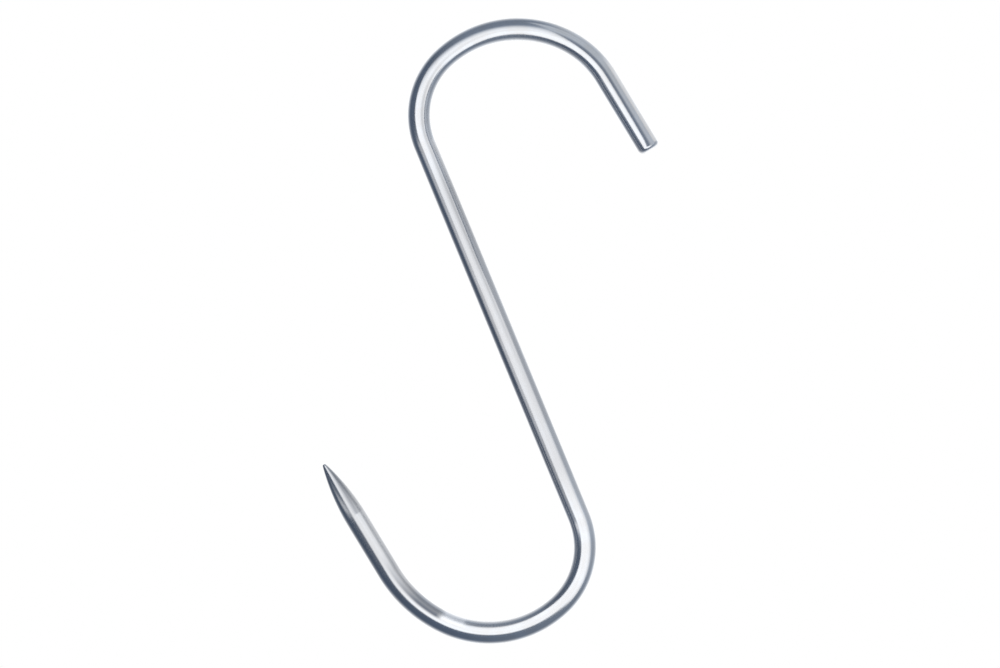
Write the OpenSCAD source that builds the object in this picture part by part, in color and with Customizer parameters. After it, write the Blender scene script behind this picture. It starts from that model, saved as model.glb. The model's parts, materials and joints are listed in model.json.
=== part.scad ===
// Meat hook: one length of round stainless bar, bent into an open S.
// The blunt bend hangs over a rail and the ground point carries the load.
// Millimetres, +Z up as it hangs, the whole bar in the XZ plane.
// The origin is the inside of the rail bend's crown, where the rail touches.

/* [Bar] */
// Diameter of the round bar
bar_d = 6.35; // [4:0.05:9]

/* [Shank] */
// Straight length between the two bends
shank_l = 114.4; // [40:0.1:220]
// Lean of the shank from the vertical, in degrees
shank_lean = 22.5; // [0:0.5:40]

/* [Rail bend] */
// Centreline radius beside the shank
rail_shank_r = 22; // [12:0.1:60]
// Centreline radius over the crown, which sits on the rail
rail_crown_r = 30.9; // [12:0.1:60]
// Centreline radius beside the blunt leg
rail_leg_r = 27.9; // [12:0.1:60]

/* [Blunt leg] */
// Length from the bend to the cut end
blunt_leg_l = 23.9; // [6:0.1:60]
// Rounding of the cut end's rim
cut_rim_r = 1.2; // [0.2:0.1:1.8]

/* [Load bend] */
// Centreline radius beside the shank
load_shank_r = 22.4; // [12:0.1:60]
// Centreline radius under the crown, which carries the load
load_crown_r = 29.4; // [12:0.1:60]
// Centreline radius beside the pointed leg
load_leg_r = 37.6; // [12:0.1:60]

/* [Pointed leg] */
// Length from the bend to where the point starts
pointed_leg_l = 17.1; // [4:0.1:60]
// Radius of the ground curve that runs in to the tip
point_curve_r = 64; // [30:1:150]
// Radius of the dulled tip
tip_r = 0.65; // [0.3:0.05:1]

/* [Hidden] */
$fn = 72;

bar_r = bar_d / 2;

// Each bend is three arcs that run into each other. Their turns are corners
// of whole-number right triangles, 44-117-125 and 336-527-625, because the
// sine and cosine are then short decimals and every joint face meets exactly.
side_turn = atan2(117, 44);
crown_turn = side_turn;
leg_turn = atan2(336, 527);

// Height above the point's start where the ground curve gives way to the tip.
// The curve is a touch narrower there than the tip's ball, so it crosses it.
tip_seat_x = 0.95 * tip_r;
tip_z = sqrt(pow(point_curve_r, 2) - pow(point_curve_r - bar_r + tip_seat_x, 2));

// Half the side of a block that takes in any of the rings the arcs are cut from
widest_r = max(rail_shank_r, rail_crown_r, rail_leg_r, load_shank_r, load_crown_r, load_leg_r);
block = 2 * widest_r + bar_d;

// Everything below works from a station on the bar: the bar leaves along +Z,
// and a bend curves towards +X.

// Puts its children at the far end of a straight run
module past_run(length) {
    translate([0, 0, length])
        children();
}

// Puts its children at the far end of an arc
module past_arc(r, turn) {
    translate([r, 0, 0])
        rotate([0, turn, 0])
            translate([-r, 0, 0])
                children();
}

// All the space ahead of a station
module ahead() {
    translate([-block, -block, 0])
        cube(2 * block);
}

// A straight run of bar
module run(length) {
    cylinder(d = bar_d, h = length);
}

// An arc of bar: a ring, cut square at the arc's two ends
module arc(r, turn) {
    difference() {
        translate([r, 0, 0])
            rotate([90, 0, 0])
                rotate_extrude()
                    translate([r, 0])
                        circle(d = bar_d);
        mirror([0, 0, 1])
            ahead();
        past_arc(r, turn)
            ahead();
    }
}

// A bend's three arcs in a row, with its children at the far end
module bend(shank_r, crown_r, leg_r) {
    arc(shank_r, side_turn);
    past_arc(shank_r, side_turn) {
        arc(crown_r, crown_turn);
        past_arc(crown_r, crown_turn) {
            arc(leg_r, leg_turn);
            past_arc(leg_r, leg_turn)
                children();
        }
    }
}

// The leg that ends in a square cut with a rounded rim
module blunt_leg() {
    rim_z = blunt_leg_l - cut_rim_r;
    rotate_extrude() {
        square([bar_r, rim_z]);
        square([bar_r - cut_rim_r, blunt_leg_l]);
        translate([bar_r - cut_rim_r, rim_z])
            intersection() {
                circle(r = cut_rim_r);
                square(cut_rim_r);
            }
    }
}

// The leg that is ground to a point: a long curve, then a small round tip
module pointed_leg() {
    rotate_extrude() {
        square([bar_r, pointed_leg_l]);
        translate([0, pointed_leg_l])
            intersection() {
                translate([bar_r - point_curve_r, 0])
                    circle(r = point_curve_r, $fn = 720);
                union() {
                    square([bar_r, tip_z]);
                    translate([0, tip_z])
                        circle(r = tip_r);
                }
                square([bar_r, tip_z + tip_r]);
            }
    }
}

// Puts its children at the top of the shank, with the crown's inside at the origin
module hung_from_crown() {
    translate([0, 0, bar_r - rail_crown_r])
        rotate([0, side_turn - shank_lean, 0])
            translate([-rail_crown_r, 0, 0])
                past_arc(rail_shank_r, -side_turn)
                    children();
}

module hook_bar() {
    color("silver")
        hung_from_crown() {
            bend(rail_shank_r, rail_crown_r, rail_leg_r)
                blunt_leg();
            rotate([0, 180, 0]) {
                run(shank_l);
                past_run(shank_l)
                    bend(load_shank_r, load_crown_r, load_leg_r)
                        pointed_leg();
            }
        }
}

hook_bar();
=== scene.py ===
"""Meat hook: the finished look of one length of polished stainless bar.

The bar is bent into an open S. Its blunt bend hangs over a rail and its
ground point carries the load. Everything is in metres, +Z up as the hook
hangs, with the inside of the rail bend's crown at the origin.
"""

import json
import logging
import math
from dataclasses import dataclass, field
from enum import Enum

import bmesh
import bpy
from mathutils import Matrix, Vector

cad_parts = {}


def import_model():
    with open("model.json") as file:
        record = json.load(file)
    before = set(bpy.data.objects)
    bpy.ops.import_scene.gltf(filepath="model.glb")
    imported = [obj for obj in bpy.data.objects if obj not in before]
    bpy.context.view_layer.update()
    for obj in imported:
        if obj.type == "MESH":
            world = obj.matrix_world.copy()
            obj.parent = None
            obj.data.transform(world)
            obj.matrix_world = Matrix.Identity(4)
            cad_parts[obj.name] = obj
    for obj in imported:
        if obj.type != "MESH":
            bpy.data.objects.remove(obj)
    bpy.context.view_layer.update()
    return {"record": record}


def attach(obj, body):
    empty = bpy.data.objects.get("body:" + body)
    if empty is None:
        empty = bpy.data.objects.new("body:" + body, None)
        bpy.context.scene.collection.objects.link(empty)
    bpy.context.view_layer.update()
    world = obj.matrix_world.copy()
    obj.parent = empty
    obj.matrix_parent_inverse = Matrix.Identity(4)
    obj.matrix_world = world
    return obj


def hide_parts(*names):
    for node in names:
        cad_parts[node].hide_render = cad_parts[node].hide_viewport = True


log = logging.getLogger("meat_hook")

MM = 0.001
RED_FALL = 1.14
BLUE_FALL = 0.82

Socket = bpy.types.NodeSocket
Colour = tuple[float, float, float]
Scale = tuple[float, float, float]


# ---------------------------------------------------------------- node trees


class NodeSheet:
    """Lays out and joins the nodes of one tree."""

    def __init__(self, tree: bpy.types.NodeTree) -> None:
        """Empties the tree.

        Args:
            tree: The node tree to lay out.
        """
        self.tree = tree
        self.tree.nodes.clear()

    def add(self, kind: str, **settings: object) -> bpy.types.Node:
        """Adds a node.

        Args:
            kind: The node's type name.
            settings: Properties to set on it.

        Returns:
            The new node.
        """
        node = self.tree.nodes.new(kind)
        for name, value in settings.items():
            setattr(node, name, value)
        return node

    def feed(self, socket: Socket, value: object) -> None:
        """Joins an output to a socket, or sets the socket's own value.

        Args:
            socket: The input to fill.
            value: Another node's output, or a number, vector or colour.
        """
        if isinstance(value, Socket):
            self.tree.links.new(value, socket)
        else:
            socket.default_value = value

    def sums(self, operation: str, *values: object, clamp: bool = False) -> Socket:
        """Works out one number with a Math node.

        Args:
            operation: The Math node's operation.
            values: Its inputs, in order.
            clamp: Whether the answer is kept from 0 to 1.

        Returns:
            The answer's socket.
        """
        node = self.add("ShaderNodeMath", operation=operation, use_clamp=clamp)
        for socket, value in zip(node.inputs, values):
            self.feed(socket, value)
        return node.outputs[0]

    def stretch(self, vector: Socket, scale: Scale) -> Socket:
        """Scales a vector by a different amount on each axis.

        Args:
            vector: The vector's socket.
            scale: The three factors.

        Returns:
            The scaled vector's socket.
        """
        node = self.add("ShaderNodeVectorMath", operation="MULTIPLY")
        self.feed(node.inputs[0], vector)
        self.feed(node.inputs[1], scale)
        return node.outputs[0]

    def ease(self, value: object, low: float, high: float) -> Socket:
        """Rises smoothly from 0 to 1 while a value goes from low to high.

        Args:
            value: The value's socket.
            low: Where the rise starts.
            high: Where it ends.

        Returns:
            The rise's socket.
        """
        node = self.add("ShaderNodeMapRange", interpolation_type="SMOOTHSTEP")
        for name, entry in (("Value", value), ("From Min", low), ("From Max", high)):
            self.feed(node.inputs[name], entry)
        return node.outputs["Result"]

    def parts(self, vector: Socket) -> list[Socket]:
        """Splits a vector.

        Args:
            vector: The vector's socket.

        Returns:
            Its three parts.
        """
        node = self.add("ShaderNodeSeparateXYZ")
        self.feed(node.inputs[0], vector)
        return list(node.outputs)

    def attribute(self, name: str) -> bpy.types.Node:
        """Reads an attribute of the mesh.

        Args:
            name: The attribute's name.

        Returns:
            The node that reads it.
        """
        return self.add("ShaderNodeAttribute", attribute_name=name)

    def noise(self, vector: Socket, scale: float, detail: float = 2.0,
              rough: float = 0.5) -> Socket:
        """Reads a noise pattern.

        Args:
            vector: Where to read it.
            scale: Its cells per unit.
            detail: How many finer layers it has.
            rough: How strong the finer layers are.

        Returns:
            The pattern's value, about 0.5 on average.
        """
        node = self.add("ShaderNodeTexNoise")
        entries = (("Vector", vector), ("Scale", scale), ("Detail", detail), ("Roughness", rough))
        for name, entry in entries:
            self.feed(node.inputs[name], entry)
        return node.outputs["Fac"]

    def blend(self, factor: object, first: object, second: object) -> Socket:
        """Mixes two colours.

        Args:
            factor: 0 for the first, 1 for the second.
            first: A colour or a colour's socket.
            second: Another.

        Returns:
            The mixed colour's socket.
        """
        node = self.add("ShaderNodeMix", data_type="RGBA")
        self.feed(node.inputs["Factor"], factor)
        self.feed(node.inputs[6], first)
        self.feed(node.inputs[7], second)
        return node.outputs[2]

    def ramp(self, value: object, stops: list[tuple[float, Colour]]) -> Socket:
        """Turns a value from 0 to 1 into a colour.

        Args:
            value: The value's socket.
            stops: Places from 0 to 1, each with its colour.

        Returns:
            The colour's socket.
        """
        node = self.add("ShaderNodeValToRGB")
        node.color_ramp.interpolation = "EASE"
        marks = node.color_ramp.elements
        while len(marks) < len(stops):
            marks.new(0.5)
        for mark, (place, colour) in zip(marks, stops):
            mark.position = place
            mark.color = (*colour, 1.0)
        self.feed(node.inputs["Fac"], value)
        return node.outputs["Color"]


# --------------------------------------------------------------- the one bar


class Way(Enum):
    """Which way a bend curls, on the way from the point to the blunt leg."""

    OVER_THE_RAIL = 1
    UNDER_THE_LOAD = -1


class Mark(Enum):
    """What the bar's mesh carries for its finish to read, and for the shade and highlight painted into its
    colour.
    """

    STRAIGHT = "straight"
    GROUND = "ground"
    RUBBED = "rubbed"
    DRAWN = "drawn"
    # Painted shade: darkens the steel's colour where dark surroundings would be reflected.
    PAINTED_SHADE = "painted_shade"
    # Painted highlight: lightens the steel's colour where a bright reflection would be.
    PAINTED_HIGHLIGHT = "painted_highlight"
    CUT = "cut"


@dataclass
class Bend:
    """A bend of three arcs that run into each other, by centreline radius."""

    shank_r: float
    crown_r: float
    leg_r: float
    side_turn: float = math.atan2(117, 44)
    crown_turn: float = math.atan2(117, 44)
    leg_turn: float = math.atan2(336, 527)


@dataclass
class Skin:
    """How finely the bar's surface is divided."""

    sides: int = 96
    turn_step: float = math.radians(1.5)
    run_step: float = 3 * MM
    grind_step: float = 0.5 * MM
    tip_steps: int = 8
    rim_steps: int = 6
    pole_shrink: float = 0.5


class Side(Enum):
    """A side of the bar, by which bend it is the inside of."""

    ALL_ROUND = 0
    INSIDE_RAIL_BEND = 1
    INSIDE_LOAD_BEND = -1


@dataclass
class Patch:
    """A stretch of the bar, and the side of it, that has a finish of its own, painted shade or a painted
    highlight.
    """

    mark: Mark
    start: float
    end: float
    fade_in: float
    fade_out: float
    side: Side = Side.ALL_ROUND
    most: float = 1.0
    face_start: float = 0.05
    face_full: float = 0.35
    rim_loss: float = 0.0
    # back_share weakens a patch on the back half of the bar, so painted shade and highlight stay on its
    # front.
    back_share: float = 1.0
    back_start: float = 0.5

    def amount(self, across: float, back: float, reach: float) -> float:
        """Works out how strongly the patch shows at a place.

        Args:
            across: From -1 to 1 across the bar, in the plane of its bends.
            back: From -1 to 1 through the bar, from its front to its back.
            reach: The place's distance along the bar.

        Returns:
            From 0 for not at all to the patch's most.
        """
        along = min((reach - self.start) / self.fade_in, (self.end - reach) / self.fade_out, 1.0)
        facing = 1.0
        if self.side is not Side.ALL_ROUND:
            turned = across * self.side.value
            facing = min((turned - self.face_start) / (self.face_full - self.face_start), 1.0)
            facing -= self.rim_loss * max(0.0, turned - self.face_full) / (1 - self.face_full)
        facing *= 1 - (1 - self.back_share) * min(1.0, max(0.0, self.back_start + back))
        return self.most * max(0.0, along) * max(0.0, facing)


class BarWalk:
    """Draws the bar's skin ring by ring, and keeps its place on the bar."""

    def __init__(self, bm: bmesh.types.BMesh, ring: list[bmesh.types.BMEdge], station: Matrix,
                 skin: Skin, sense: int) -> None:
        """Starts from a ring that is already drawn.

        Args:
            bm: The mesh being made.
            ring: The ring's edges.
            station: The ring's place, with its Z along the bar towards the blunt leg.
            skin: How finely to divide the surface.
            sense: 1 to walk towards the blunt leg, -1 towards the point.
        """
        self.bm = bm
        self.ring = ring
        self.station = station.copy()
        self.skin = skin
        self.sense = sense
        self.reach = 0.0
        self.ground = 0.0
        self.straight_layer = bm.verts.layers.float_vector[Mark.STRAIGHT.value]
        self.ground_layer = bm.verts.layers.float[Mark.GROUND.value]
        self.label()

    def ring_verts(self) -> list[bmesh.types.BMVert]:
        """Returns the present ring's points."""
        return list(dict.fromkeys(vert for edge in self.ring for vert in edge.verts))

    def label(self) -> None:
        """Writes on each point of the ring where it lay before the bar was bent."""
        back = self.station.inverted()
        for vert in self.ring_verts():
            here = back @ vert.co
            vert[self.straight_layer] = (here.x, here.y, self.reach)
            vert[self.ground_layer] = self.ground

    def step(self, distance: float, scale: float = 1.0) -> None:
        """Draws one more ring straight ahead.

        Args:
            distance: How far on.
            scale: The new ring's size as a share of the present one's.
        """
        made = bmesh.ops.extrude_edge_only(self.bm, edges=self.ring)["geom"]
        verts = [part for part in made if isinstance(part, bmesh.types.BMVert)]
        edges = [part for part in made if isinstance(part, bmesh.types.BMEdge)]
        new = set(verts)
        self.ring = [edge for edge in edges if new.issuperset(edge.verts)]
        bmesh.ops.scale(self.bm, vec=(scale, scale, 1), verts=verts, space=self.station.inverted())
        ahead = Vector((0, 0, self.sense * distance))
        bmesh.ops.translate(self.bm, vec=self.station.to_3x3() @ ahead, verts=verts)
        self.station = self.station @ Matrix.Translation(ahead)
        self.reach += self.sense * distance
        self.label()

    def run(self, length: float) -> None:
        """Draws a straight run.

        Args:
            length: The run's length.
        """
        steps = math.ceil(length / self.skin.run_step)
        for _ in range(steps):
            self.step(length / steps)

    def arc(self, radius: float, turn: float, way: Way) -> None:
        """Draws an arc.

        Args:
            radius: The centreline's radius.
            turn: The angle that the bar turns through.
            way: Which way it curls.
        """
        steps = math.ceil(turn / self.skin.turn_step)
        angle = self.sense * way.value * turn / steps
        centre = Vector((way.value * radius, 0, 0))
        turned = Matrix.Translation(centre) @ Matrix.Rotation(angle, 4, "Y") @ Matrix.Translation(-centre)
        for _ in range(steps):
            spun = bmesh.ops.spin(
                self.bm, geom=self.ring + self.ring_verts(), cent=self.station @ centre,
                axis=self.station.to_3x3() @ Vector((0, 1, 0)), angle=angle, steps=1,
                use_merge=False, use_normal_flip=False, use_duplicate=False)
            self.ring = [part for part in spun["geom_last"] if isinstance(part, bmesh.types.BMEdge)]
            self.station = self.station @ turned
            self.reach += self.sense * radius * turn / steps
            self.label()

    def close_with_pole(self, distance: float) -> None:
        """Closes the skin in one point ahead.

        Args:
            distance: How far ahead the point is.
        """
        self.step(distance, self.skin.pole_shrink)
        bmesh.ops.pointmerge(self.bm, verts=self.ring_verts(), merge_co=self.station.translation)

    def close_with_cut(self, rim_r: float) -> None:
        """Closes the skin with a flat face that has a rounded rim.

        Args:
            rim_r: The rim's radius.
        """
        bmesh.ops.contextual_create(self.bm, geom=self.ring)
        rim = bmesh.ops.bevel(
            self.bm, geom=self.ring, offset=rim_r, offset_type="OFFSET", affect="EDGES",
            segments=self.skin.rim_steps, profile=0.5, material=-1, clamp_overlap=False)
        half_rim = rim_r / 2
        back = self.station.inverted()
        cut_layer = self.bm.verts.layers.float[Mark.CUT.value]
        for vert in rim["verts"]:
            here = back @ vert.co
            vert[self.straight_layer] = (here.x, here.y, self.reach + here.z)
            vert[cut_layer] = 1.0 + max(-1.0, self.sense * here.z / half_rim)


@dataclass
class HookBar:
    """The hook itself: shank, two bends, a blunt leg and a pointed leg."""

    bar_r: float
    shank_l: float = 114.4 * MM
    shank_lean: float = math.radians(22.5)
    rail_bend: Bend = field(default_factory=lambda: Bend(22 * MM, 30.9 * MM, 27.9 * MM))
    load_bend: Bend = field(default_factory=lambda: Bend(22.4 * MM, 29.4 * MM, 37.6 * MM))
    blunt_leg_l: float = 23.9 * MM
    cut_rim_r: float = 1.2 * MM
    pointed_leg_l: float = 17.1 * MM
    point_curve_r: float = 64 * MM
    tip_r: float = 0.65 * MM
    tip_seat: float = 0.95
    seat_steps: int = 100
    grind_start: float = 1.5 * MM
    rub_half_l: float = 14 * MM
    drawn_fade: float = 16 * MM
    drawn_most: float = 0.65
    # Where shade is painted on the inside of the load bend and where it ends at a painted highlight, and how
    # softly patches start and end.
    painted_shade_from_crown: float = 14.8 * MM
    painted_shade_l: float = 25 * MM
    painted_shade_fade: float = 17 * MM
    painted_highlight_l: float = 7.8 * MM
    patch_edge: float = 1 * MM
    skin: Skin = field(default_factory=Skin)

    def build(self) -> bpy.types.Object:
        """Makes the bar's mesh.

        Returns:
            The finished object, at the origin.
        """
        bm = bmesh.new()
        bm.verts.layers.float_vector.new(Mark.STRAIGHT.value)
        for mark in Mark:
            if mark is not Mark.STRAIGHT:
                bm.verts.layers.float.new(mark.value)
        crown = Matrix.Translation((0, 0, self.bar_r)) @ Matrix.Rotation(math.pi / 2, 4, "Y")
        bmesh.ops.create_circle(bm, cap_ends=False, segments=self.skin.sides,
                                radius=self.bar_r, matrix=crown)
        ring = list(bm.edges)
        self.draw_blunt_half(BarWalk(bm, ring, crown, self.skin, 1))
        patches = self.draw_pointed_half(BarWalk(bm, ring, crown, self.skin, -1))
        self.mark_patches(bm, [self.rub_at(0.0, Side.INSIDE_RAIL_BEND), *patches])
        bmesh.ops.recalc_face_normals(bm, faces=bm.faces)
        mesh = bpy.data.meshes.new("hook_bar_polished")
        bm.to_mesh(mesh)
        bm.free()
        mesh.shade_smooth()
        piece = bpy.data.objects.new("hook_bar_polished", mesh)
        bpy.context.scene.collection.objects.link(piece)
        return piece

    def shank_side_of_crown(self) -> float:
        """Returns how much of the rail bend's middle arc lies on the crown's shank side."""
        return math.pi / 2 - (self.rail_bend.side_turn - self.shank_lean)

    def draw_blunt_half(self, walk: BarWalk) -> None:
        """Draws from the rail bend's crown to the cut end.

        Args:
            walk: A walk that stands at the crown.
        """
        bend = self.rail_bend
        walk.arc(bend.crown_r, bend.crown_turn - self.shank_side_of_crown(), Way.OVER_THE_RAIL)
        walk.arc(bend.leg_r, bend.leg_turn, Way.OVER_THE_RAIL)
        walk.run(self.blunt_leg_l)
        walk.close_with_cut(self.cut_rim_r)

    def draw_pointed_half(self, walk: BarWalk) -> list[Patch]:
        """Draws from the rail bend's crown down the shank to the point.

        Args:
            walk: A walk that stands at the crown.

        Returns:
            The patches on this half that have a finish of their own.
        """
        bend = self.rail_bend
        walk.arc(bend.crown_r, self.shank_side_of_crown(), Way.OVER_THE_RAIL)
        walk.arc(bend.shank_r, bend.side_turn, Way.OVER_THE_RAIL)
        shank_top = walk.reach
        walk.run(self.shank_l)
        shank_foot = walk.reach
        bend = self.load_bend
        walk.arc(bend.shank_r, bend.side_turn, Way.UNDER_THE_LOAD)
        load_crown = walk.reach - bend.crown_r * self.shank_side_of_crown()
        walk.arc(bend.crown_r, bend.crown_turn, Way.UNDER_THE_LOAD)
        walk.arc(bend.leg_r, bend.leg_turn, Way.UNDER_THE_LOAD)
        leg_top = walk.reach
        walk.run(self.pointed_leg_l)
        point_start = walk.reach - self.grind_start
        self.grind_point(walk)
        fade = self.drawn_fade
        shank = Patch(Mark.DRAWN, shank_foot, shank_top, fade, fade, most=self.drawn_most)
        upper = Patch(Mark.DRAWN, shank_foot, shank_top, self.shank_l - fade, fade, Side.INSIDE_RAIL_BEND,
                      face_start=-0.45, face_full=0.05)
        leg = Patch(Mark.DRAWN, walk.reach, leg_top + fade, self.patch_edge, fade, most=self.drawn_most)
        # Painted shade: the inside of the point is darkened as if it reflected dark surroundings, mostly on
        # its front.
        flat = Patch(Mark.PAINTED_SHADE, walk.reach, point_start, self.patch_edge, self.skin.grind_step,
                     Side.INSIDE_LOAD_BEND, most=0.50, face_full=0.30, rim_loss=0.9, back_share=0.3)
        rub = self.rub_at(load_crown, Side.INSIDE_LOAD_BEND)
        return [shank, upper, leg, flat, rub, *self.paint_shade_and_highlight(load_crown)]

    def rub_at(self, crown: float, side: Side) -> Patch:
        """Marks where a rail or a load rubs the inside of a bend.

        Args:
            crown: The bend's crown, as a distance along the bar.
            side: Which bend it is inside.

        Returns:
            The rubbed patch.
        """
        half = self.rub_half_l
        return Patch(Mark.RUBBED, crown - half, crown + half, half, half, side,
                     face_start=0.1, face_full=0.95)

    def paint_shade_and_highlight(self, load_crown: float) -> list[Patch]:
        """Paints shade and a highlight on the inside of the load bend.

        Args:
            load_crown: The bend's crown, as a distance along the bar.

        Returns:
            A painted dark reflection that fades in, and the painted highlight that it ends at.
        """
        meet = load_crown - self.painted_shade_from_crown
        # Painted shade: a dark patch that stands for dark surroundings reflected in the bend.
        dull = Patch(Mark.PAINTED_SHADE, meet - self.painted_shade_l, meet, self.painted_shade_fade, self.patch_edge,
                     Side.INSIDE_LOAD_BEND, face_full=0.28, rim_loss=0.9, back_share=0.2)
        # Painted highlight: a pale patch that stands for a bright reflection.
        bright = Patch(Mark.PAINTED_HIGHLIGHT, meet, meet + self.painted_highlight_l, self.patch_edge, self.patch_edge,
                       Side.INSIDE_LOAD_BEND, face_start=0.25, face_full=0.5, rim_loss=0.25, back_share=0.2)
        return [dull, bright]

    def ground_r(self, height: float) -> float:
        """Works out the point's radius.

        Args:
            height: How far past the point's start.

        Returns:
            The ground curve's radius there.
        """
        return math.sqrt(self.point_curve_r ** 2 - height ** 2) - (self.point_curve_r - self.bar_r)

    def grind_point(self, walk: BarWalk) -> None:
        """Draws the ground curve and the small round tip.

        Args:
            walk: A walk that stands at the point's start.
        """
        seat_r = self.tip_seat * self.tip_r
        ball = math.sqrt(self.point_curve_r ** 2 - (self.point_curve_r - self.bar_r + seat_r) ** 2)
        meet = 0.0
        while self.ground_r(ball + meet) < math.sqrt(self.tip_r ** 2 - meet ** 2):
            meet += self.tip_r / self.seat_steps
        steps = math.ceil((ball + meet) / self.skin.grind_step)
        profile = [(height, self.ground_r(height))
                   for height in ((ball + meet) * place / steps for place in range(1, steps + 1))]
        first = math.asin(meet / self.tip_r)
        for place in range(1, self.skin.tip_steps):
            angle = first + (math.pi / 2 - first) * place / self.skin.tip_steps
            profile.append((ball + self.tip_r * math.sin(angle), self.tip_r * math.cos(angle)))
        height, radius = 0.0, self.bar_r
        for next_height, next_radius in profile:
            walk.ground = min(1.0, max(0.0, (next_height - self.grind_start) / self.skin.grind_step))
            walk.step(next_height - height, next_radius / radius)
            height, radius = next_height, next_radius
        walk.close_with_pole(ball + self.tip_r - height)

    def mark_patches(self, bm: bmesh.types.BMesh, patches: list[Patch]) -> None:
        """Writes the patches' strengths on the skin.

        Args:
            bm: The finished skin.
            patches: The patches.
        """
        straight = bm.verts.layers.float_vector[Mark.STRAIGHT.value]
        for patch in patches:
            layer = bm.verts.layers.float[patch.mark.value]
            for vert in bm.verts:
                across, back, reach = vert[straight]
                vert[layer] = max(vert[layer], patch.amount(across / self.bar_r, back / self.bar_r, reach))


# -------------------------------------------------------------------- finish


@dataclass(frozen=True)
class Lines:
    """One family of fine lines: how wide and how long a line is, and how deep."""

    width: float
    length: float
    depth: float

    def along_bar(self) -> Scale:
        """Returns the pattern's scale for lines that run along the bar."""
        return 1 / self.width, 1 / self.width, 1 / self.length

    def round_bar(self) -> Scale:
        """Returns the pattern's scale for lines that run round the bar."""
        return 1 / self.length, 1 / self.length, 1 / self.width


Marks = dict[Mark, Socket]


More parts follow.
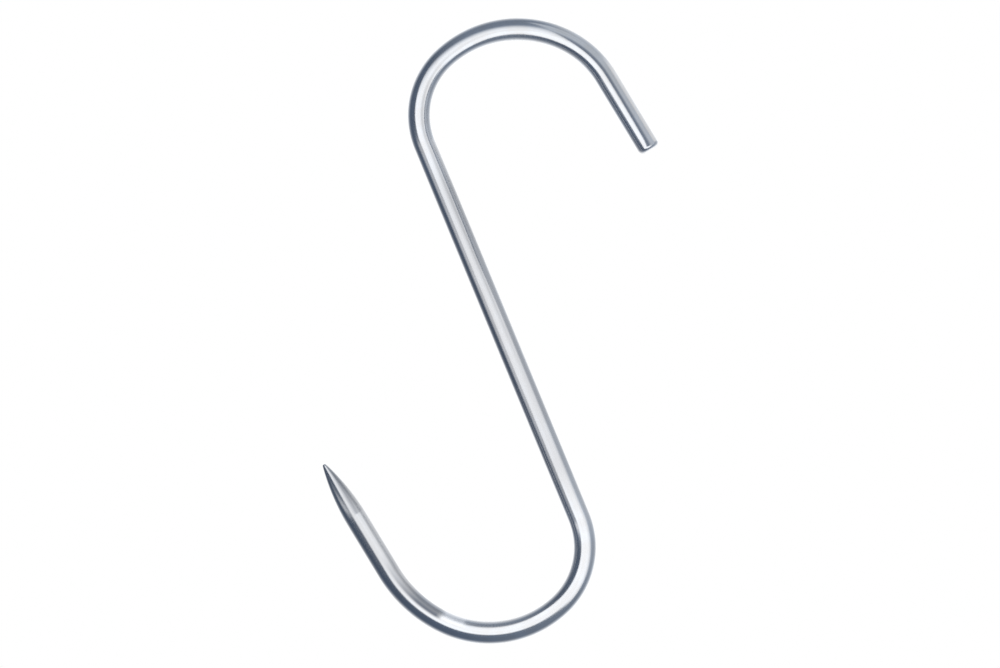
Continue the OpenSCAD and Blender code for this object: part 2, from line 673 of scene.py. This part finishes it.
@dataclass(frozen=True)
class PolishedSteel:
    """Bright stainless: fine polishing lines along the bar, a ground point, and painted shade and a painted
    highlight in its colour.
    """

    name: str = "polished_steel"
    bright: Colour = (0.645, 0.670, 0.710)
    worn: Colour = (0.610, 0.615, 0.630)
    polish: Lines = Lines(0.16 * MM, 9 * MM, 0.35)
    drawn: Lines = Lines(0.7 * MM, 45 * MM, 0.9)
    ground: Lines = Lines(0.09 * MM, 1.6 * MM, 0.2)
    scuff: Lines = Lines(0.12 * MM, 2.5 * MM, 0.5)
    mottle: float = 6 * MM
    mottle_detail: float = 4.0
    mottle_rough: float = 0.6
    worn_range: tuple[float, float] = (0.8, 1.2)
    streak_gain: float = 0.8
    streak_base: float = 0.6
    scuff_limit: float = 0.70
    scuff_crowding: float = 0.12
    scuff_sharpness: float = 9.0
    # Colour of the painted shade, a dark reflection painted into the steel.
    painted_shade_colour: Colour = (0.075, 0.09, 0.12)
    # Colour of the painted highlight, a bright reflection painted into the steel.
    painted_highlight_colour: Colour = (0.86, 0.875, 0.905)
    drawn_colour: Colour = (0.472, 0.480, 0.500)
    roughness: float = 0.17
    roughness_spread: float = 0.06
    drawn_roughness: float = 0.03
    painted_highlight_roughness: float = 0.22
    ground_roughness: float = 0.03
    rubbed_roughness: float = 0.13
    cut_roughness: float = 0.20
    scuff_roughness: float = 0.12
    bump_distance: float = 0.0015 * MM

    def make(self) -> bpy.types.Material:
        """Makes the material.

        Returns:
            The finished material.
        """
        material = bpy.data.materials.new(self.name)
        material.use_nodes = True
        sheet = NodeSheet(material.node_tree)
        straight = sheet.attribute(Mark.STRAIGHT.value).outputs["Vector"]
        strengths = [mark for mark in Mark if mark is not Mark.STRAIGHT]
        marks = {mark: sheet.attribute(mark.value).outputs["Fac"] for mark in strengths}
        spread = sheet.stretch(straight, (1 / self.mottle,) * 3)
        mottle = sheet.noise(spread, 1.0, self.mottle_detail, self.mottle_rough)
        scuffs = self.scuffs(sheet, straight, marks[Mark.RUBBED])
        shader = sheet.add("ShaderNodeBsdfPrincipled")
        shader.inputs["Metallic"].default_value = 1.0
        sheet.feed(shader.inputs["Base Color"], self.tint(sheet, straight, mottle, marks))
        sheet.feed(shader.inputs["Roughness"], self.sheen(sheet, mottle, scuffs, marks))
        sheet.feed(shader.inputs["Normal"], self.relief(sheet, straight, scuffs, marks))
        sheet.feed(sheet.add("ShaderNodeOutputMaterial").inputs["Surface"], shader.outputs["BSDF"])
        return material

    def scuffs(self, sheet: NodeSheet, straight: Socket,
               rubbed: Socket) -> Socket:
        """Scatters short scuffs round the bar, thick where it is rubbed.

        Args:
            sheet: The material's nodes.
            straight: Places on the straight bar.
            rubbed: How rubbed each place is.

        Returns:
            How deep each scuff is, from 0 to 1.
        """
        lines = sheet.noise(sheet.stretch(straight, self.scuff.round_bar()), 1.0, 1.0)
        limit = sheet.sums("MULTIPLY_ADD", rubbed, -self.scuff_crowding, self.scuff_limit)
        return sheet.sums("MULTIPLY", sheet.sums("SUBTRACT", lines, limit), self.scuff_sharpness, clamp=True)

    def tint(self, sheet: NodeSheet, straight: Socket, mottle: Socket,
             marks: Marks) -> Socket:
        """Varies the steel's colour a little, and paints shade and a highlight into it.

        Args:
            sheet: The material's nodes.
            straight: Places on the straight bar.
            mottle: A soft pattern.
            marks: How strongly each mark shows.

        Returns:
            The colour's socket.
        """
        streaks = sheet.noise(sheet.stretch(straight, self.drawn.along_bar()), 1.0, 3.0)
        factor = sheet.ease(sheet.sums("ADD", mottle, streaks), *self.worn_range)
        colour = sheet.blend(factor, (*self.bright, 1.0), (*self.worn, 1.0))
        streaky = sheet.sums("MULTIPLY_ADD", streaks, self.streak_gain, self.streak_base)
        dull = sheet.sums("MULTIPLY", marks[Mark.DRAWN], streaky, clamp=True)
        colour = sheet.blend(dull, colour, (*self.drawn_colour, 1.0))
        # Painted highlight, then painted shade, where the mesh marks them.
        colour = sheet.blend(marks[Mark.PAINTED_HIGHLIGHT], colour, (*self.painted_highlight_colour, 1.0))
        return sheet.blend(marks[Mark.PAINTED_SHADE], colour, (*self.painted_shade_colour, 1.0))

    def sheen(self, sheet: NodeSheet, mottle: Socket, scuffs: Socket,
              marks: Marks) -> Socket:
        """Works out the roughness from what was done to each place, and where shade and a highlight are
        painted.

        Args:
            sheet: The material's nodes.
            mottle: A soft pattern.
            scuffs: How deep each scuff is.
            marks: How strongly each mark shows.

        Returns:
            The roughness's socket.
        """
        low = self.roughness - self.roughness_spread / 2
        rough = sheet.sums("MULTIPLY_ADD", mottle, self.roughness_spread, low)
        extras = ((marks[Mark.GROUND], self.ground_roughness), (marks[Mark.RUBBED], self.rubbed_roughness),
                  (marks[Mark.DRAWN], self.drawn_roughness), (marks[Mark.PAINTED_HIGHLIGHT], self.painted_highlight_roughness),
                  (marks[Mark.CUT], self.cut_roughness), (scuffs, self.scuff_roughness))
        for place, more in extras:
            rough = sheet.sums("MULTIPLY_ADD", place, more, rough)
        return rough

    def relief(self, sheet: NodeSheet, straight: Socket, scuffs: Socket,
               marks: Marks) -> Socket:
        """Cuts the fine lines into the surface.

        Args:
            sheet: The material's nodes.
            straight: Places on the straight bar.
            scuffs: How deep each scuff is.
            marks: How strongly each mark shows.

        Returns:
            The bumped normal's socket.
        """
        ground, cut = marks[Mark.GROUND], marks[Mark.CUT]
        untouched = sheet.sums("SUBTRACT", 1.0, sheet.sums("MAXIMUM", ground, cut), clamp=True)
        height = sheet.sums("MULTIPLY", scuffs, -self.scuff.depth)
        for lines in (self.polish, self.drawn):
            mark = sheet.noise(sheet.stretch(straight, lines.along_bar()), 1.0, 2.0)
            mark = sheet.sums("MULTIPLY", mark, untouched)
            height = sheet.sums("MULTIPLY_ADD", mark, lines.depth, height)
        grind = sheet.noise(sheet.stretch(straight, self.ground.round_bar()), 1.0, 2.0)
        height = sheet.sums("MULTIPLY_ADD", sheet.sums("MULTIPLY", grind, ground), self.ground.depth, height)
        sawn = (1 / self.ground.length, 1 / self.ground.width, 1 / self.ground.length)
        saw = sheet.noise(sheet.stretch(straight, sawn), 1.0, 2.0)
        height = sheet.sums("MULTIPLY_ADD", sheet.sums("MULTIPLY", saw, cut), self.ground.depth, height)
        bump = sheet.add("ShaderNodeBump")
        bump.inputs["Distance"].default_value = self.bump_distance
        sheet.feed(bump.inputs["Height"], height)
        return bump.outputs["Normal"]


# --------------------------------------------------------------------- stage


def new_stage_piece(name: str, bm: bmesh.types.BMesh, material: bpy.types.Material) -> bpy.types.Object:
    """Makes a piece of the stage, which is not part of the hook.

    Args:
        name: The piece's name.
        bm: Its mesh, which is freed.
        material: Its material.

    Returns:
        The piece.
    """
    mesh = bpy.data.meshes.new(name)
    bm.to_mesh(mesh)
    bm.free()
    mesh.materials.append(material)
    piece = bpy.data.objects.new(name, mesh)
    bpy.context.scene.collection.objects.link(piece)
    return piece


def daylight(level: float) -> Colour:
    """Works out the colour of soft daylight, which is bluer where it is dim.

    Args:
        level: How bright it is, where 1 is a white wall in full light.

    Returns:
        The colour.
    """
    if level > 1:
        return level, level, level
    return level ** RED_FALL, level, level ** BLUE_FALL


@dataclass
class Surroundings:
    """Soft light from all round: dark screens to the left, pale ones to the right."""

    dark: float = 0.14
    slate: float = 0.27
    grey: float = 0.47
    pale: float = 0.64
    bright: float = 0.98
    slow: float = 1.5
    even: float = 2.2
    sharp: float = 3.1
    plain_light: float = 1.0
    back_white: float = 1.49
    wing_level: float = 1.35
    wing_edge: tuple[float, float] = (0.20, 0.62)

    def screens(self) -> list[tuple[float, float]]:
        """Returns the ring of screens, by angle up from the right, and how bright each is."""
        return [
            (-180, self.dark), (-125, self.dark), (-50, self.slate), (-5, self.grey), (24, self.pale),
            (29, self.bright), (37, self.bright), (47, self.pale), (62, self.pale), (84, self.slate),
            (112, self.slate), (140, self.dark), (180, self.dark),
        ]

    def back_falloff(self) -> list[tuple[float, Colour]]:
        """Returns how sharply the white behind the hook sets in, by angle up from the right."""
        powers = [
            (-180, self.even), (-157, self.sharp), (-148, self.even), (-135, self.slow), (-50, self.slow),
            (22, self.sharp), (50, self.even), (90, self.slow), (140, self.slow), (180, self.even),
        ]
        return [(angle / 360 + 0.5, (power,) * 3) for angle, power in powers]

    def wing(self) -> list[tuple[float, Colour]]:
        """Returns how much of the far white wing hangs at each angle up from the right."""
        shares = [
            (-180, 0.0), (-170, 0.05), (-162, 0.40), (-159.5, 1.0), (-155.5, 1.0), (-153, 0.0), (180, 0.0),
        ]
        return [(angle / 360 + 0.5, (share,) * 3) for angle, share in shares]

    def build(self) -> None:
        """Sets up the world."""
        world = bpy.data.worlds.new("surroundings")
        bpy.context.scene.world = world
        world.use_nodes = True
        sheet = NodeSheet(world.node_tree)
        right, back, up = sheet.parts(sheet.add("ShaderNodeTexCoord").outputs["Generated"])
        round_ring = sheet.sums("ARCTAN2", up, right)
        place = sheet.sums("MULTIPLY_ADD", round_ring, 0.5 / math.pi, 0.5)
        ring = sheet.ramp(place, [(angle / 360 + 0.5, daylight(level)) for angle, level in self.screens()])
        in_front = sheet.ease(sheet.sums("MULTIPLY", back, -1.0), *self.wing_edge)
        wing = sheet.sums("MULTIPLY", in_front, sheet.ramp(place, self.wing()))
        tone = sheet.blend(wing, ring, (*daylight(self.wing_level), 1.0))
        falloff = sheet.ramp(place, self.back_falloff())
        behind = sheet.sums("POWER", sheet.sums("MAXIMUM", back, 0.0), falloff)
        tone = sheet.blend(behind, tone, (*daylight(self.back_white), 1.0))
        reflected = sheet.add("ShaderNodeBackground")
        sheet.feed(reflected.inputs["Color"], tone)
        plain = sheet.add("ShaderNodeBackground")
        plain.inputs["Strength"].default_value = self.plain_light
        plain.inputs["Color"].default_value = (1, 1, 1, 1)
        mix = sheet.add("ShaderNodeMixShader")
        sheet.feed(mix.inputs[0], sheet.add("ShaderNodeLightPath").outputs["Is Glossy Ray"])
        sheet.feed(mix.inputs[1], plain.outputs[0])
        sheet.feed(mix.inputs[2], reflected.outputs[0])
        sheet.feed(sheet.add("ShaderNodeOutputWorld").inputs["Surface"], mix.outputs[0])


@dataclass
class Card:
    """A glowing card that hangs upright in front of the hook, seen only in the steel."""

    name: str
    away: float
    left: float
    right: float
    bottom: float
    top: float

    def glow(self, sheet: NodeSheet, place: Socket) -> tuple[Socket, Socket]:
        """Works out how the card glows.

        Args:
            sheet: The material's nodes.
            place: Places on the card.

        Returns:
            How much of the card is there, and its colour.
        """
        raise NotImplementedError

    def build(self) -> bpy.types.Object:
        """Hangs the card.

        Returns:
            The card.
        """
        bm = bmesh.new()
        middle = Vector(((self.left + self.right) / 2, -self.away, (self.bottom + self.top) / 2))
        size = Matrix.Diagonal((self.right - self.left, 1, self.top - self.bottom, 1))
        upright = Matrix.Rotation(-math.pi / 2, 4, "X")
        bmesh.ops.create_grid(bm, x_segments=1, y_segments=1, size=0.5,
                              matrix=Matrix.Translation(middle) @ size @ upright)
        card = new_stage_piece(self.name, bm, self.cloth())
        card.visible_camera = False
        card.visible_shadow = False
        card.visible_diffuse = False
        return card

    def cloth(self) -> bpy.types.Material:
        """Makes the card's material.

        Returns:
            The glowing material.
        """
        material = bpy.data.materials.new(self.name)
        material.use_nodes = True
        sheet = NodeSheet(material.node_tree)
        there, colour = self.glow(sheet, sheet.add("ShaderNodeTexCoord").outputs["Object"])
        glow = sheet.add("ShaderNodeEmission")
        sheet.feed(glow.inputs["Color"], colour)
        mix = sheet.add("ShaderNodeMixShader")
        sheet.feed(mix.inputs[0], there)
        sheet.feed(mix.inputs[1], sheet.add("ShaderNodeBsdfTransparent").outputs[0])
        sheet.feed(mix.inputs[2], glow.outputs[0])
        sheet.feed(sheet.add("ShaderNodeOutputMaterial").inputs["Surface"], mix.outputs[0])
        return material

    def distance(self, sheet: NodeSheet, place: Socket,
                 middle: tuple[float, float]) -> Socket:
        """Measures how far each place on the card is from a middle.

        Args:
            sheet: The material's nodes.
            place: Places on the card.
            middle: The middle, across and up.

        Returns:
            The distance's socket.
        """
        measure = sheet.add("ShaderNodeVectorMath", operation="DISTANCE")
        sheet.feed(measure.inputs[0], place)
        sheet.feed(measure.inputs[1], (middle[0], -self.away, middle[1]))
        return measure.outputs["Value"]


@dataclass
class SoftPanel(Card):
    """The soft white panel, which fades at its edges."""

    name: str = "soft_panel"
    away: float = 0.130
    left: float = -0.50
    right: float = 0.40
    bottom: float = -0.40
    top: float = 0.25
    white: float = 1.49
    grey: float = 0.95
    left_slope: float = 0.3
    left_edge: tuple[float, float] = (-0.146, -0.114)
    foot_edge: tuple[float, float] = (-0.223, -0.198)
    foot_right: tuple[float, float] = (0.02, 0.16)
    foot_drop: float = 0.07
    top_edge: tuple[float, float] = (0.115, -0.020)
    right_edge: tuple[float, float] = (0.360, 0.060)
    dip: tuple[float, float] = (0.060, -0.008)
    dip_r: float = 0.090

    def glow(self, sheet: NodeSheet, place: Socket) -> tuple[Socket, Socket]:
        """Works out how the panel glows.

        Args:
            sheet: The material's nodes.
            place: Places on the panel.

        Returns:
            How much of the panel is there, and its colour.
        """
        across, _, up = sheet.parts(place)
        below = sheet.sums("MINIMUM", up, 0.0)
        slanted = sheet.sums("MULTIPLY_ADD", below, self.left_slope, across)
        lowered = sheet.sums("MULTIPLY_ADD", sheet.ease(across, *self.foot_right), self.foot_drop, up)
        edges = (
            sheet.ease(slanted, *self.left_edge),
            sheet.ease(lowered, *self.foot_edge),
            sheet.ease(up, *self.top_edge),
            sheet.ease(across, *self.right_edge),
        )
        there = edges[0]
        for edge in edges[1:]:
            there = sheet.sums("MULTIPLY", there, edge)
        dip = sheet.ease(self.distance(sheet, place, self.dip), self.dip_r, 0.0)
        return there, sheet.blend(dip, (*daylight(self.white), 1.0), (*daylight(self.grey), 1.0))


@dataclass
class RailFlag(Card):
    """The grey flag close to the blunt leg, with a round bite for the rail bend."""

    name: str = "rail_flag"
    away: float = 0.040
    left: float = 0.012
    right: float = 0.200
    bottom: float = -0.060
    top: float = 0.140
    dark: float = 0.24
    pale: float = 0.66
    bite: tuple[float, float] = (0.0065, -0.0265)
    bite_edge: tuple[float, float] = (0.0240, 0.0275)
    fade: tuple[float, float] = (0.034, 0.058)
    left_edge: tuple[float, float] = (0.0135, 0.0160)
    foot_edge: tuple[float, float] = (-0.050, -0.040)

    def glow(self, sheet: NodeSheet, place: Socket) -> tuple[Socket, Socket]:
        """Works out how the flag glows.

        Args:
            sheet: The material's nodes.
            place: Places on the flag.

        Returns:
            How much of the flag is there, and its colour.
        """
        across, _, up = sheet.parts(place)
        out = self.distance(sheet, place, self.bite)
        there = sheet.sums("MULTIPLY", sheet.ease(out, *self.bite_edge), sheet.ease(across, *self.left_edge))
        there = sheet.sums("MULTIPLY", there, sheet.ease(up, *self.foot_edge))
        fade = sheet.ease(out, *self.fade)
        return there, sheet.blend(fade, (*daylight(self.dark), 1.0), (*daylight(self.pale), 1.0))


@dataclass
class PaleFloor:
    """A plain pale floor well below the hook, which brightens into the distance."""

    height: float = -0.30
    half: float = 30.0
    paint: Colour = (0.84, 0.85, 0.86)
    near: float = 0.30
    far: float = 0.95

    def build(self) -> bpy.types.Object:
        """Lays the floor.

        Returns:
            The floor.
        """
        material = bpy.data.materials.new("pale_floor")
        material.use_nodes = True
        sheet = NodeSheet(material.node_tree)
        place = sheet.add("ShaderNodeTexCoord").outputs["Object"]
        distance = sheet.add("ShaderNodeVectorMath", operation="LENGTH")
        sheet.feed(distance.inputs[0], sheet.stretch(place, (1, 1, 0)))
        paint = sheet.add("ShaderNodeBsdfDiffuse")
        paint.inputs["Color"].default_value = (*self.paint, 1.0)
        glow = sheet.add("ShaderNodeEmission")
        glow.inputs["Color"].default_value = (1, 1, 1, 1)
        mix = sheet.add("ShaderNodeMixShader")
        sheet.feed(mix.inputs[0], sheet.ease(distance.outputs["Value"], self.near, self.far))
        sheet.feed(mix.inputs[1], paint.outputs[0])
        sheet.feed(mix.inputs[2], glow.outputs[0])
        sheet.feed(sheet.add("ShaderNodeOutputMaterial").inputs["Surface"], mix.outputs[0])
        bm = bmesh.new()
        bmesh.ops.create_grid(bm, x_segments=1, y_segments=1, size=self.half,
                              matrix=Matrix.Translation((0, 0, self.height)))
        floor = new_stage_piece("floor", bm, material)
        floor.visible_glossy = False
        return floor


@dataclass
class Lens:
    """The camera: level and straight in front of the hook, from a little way off."""

    focal: float = 100.0
    sensor: float = 36.0
    view_width: float = 0.28398
    aim: tuple[float, float] = (-0.00504, -0.08341)

    def build(self) -> bpy.types.Object:
        """Sets up the camera.

        Returns:
            The camera.
        """
        data = bpy.data.cameras.new("camera")
        data.lens = self.focal
        data.sensor_width = self.sensor
        camera = bpy.data.objects.new("camera", data)
        distance = self.view_width * self.focal / self.sensor
        camera.location = (self.aim[0], -distance, self.aim[1])
        camera.rotation_euler = (math.pi / 2, 0, 0)
        bpy.context.scene.collection.objects.link(camera)
        bpy.context.scene.camera = camera
        return camera


def bar_radius(record: dict) -> float:
    """Reads the bar's radius from the record.

    Args:
        record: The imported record.

    Returns:
        The radius that the blunt end offers to a cap, in metres.
    """
    radii = [mount["dims"]["r_mm"] for mount in record["mounts"] if mount["name"] == "blunt_end"]
    return radii[0] * MM


def main() -> None:
    """Builds the hook and its studio."""
    logging.basicConfig(level=logging.INFO, format="%(name)s: %(message)s")
    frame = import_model()
    bpy.context.scene.view_settings.view_transform = "Standard"
    for part in (Lens(), Surroundings(), SoftPanel(), RailFlag(), PaleFloor()):
        part.build()
    bar = HookBar(bar_r=bar_radius(frame["record"])).build()
    bar.data.materials.append(PolishedSteel().make())
    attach(bar, "root")
    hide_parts("hook_bar")
    log.info("%s: %d faces", bar.name, len(bar.data.polygons))


if __name__ == "__main__":
    main()
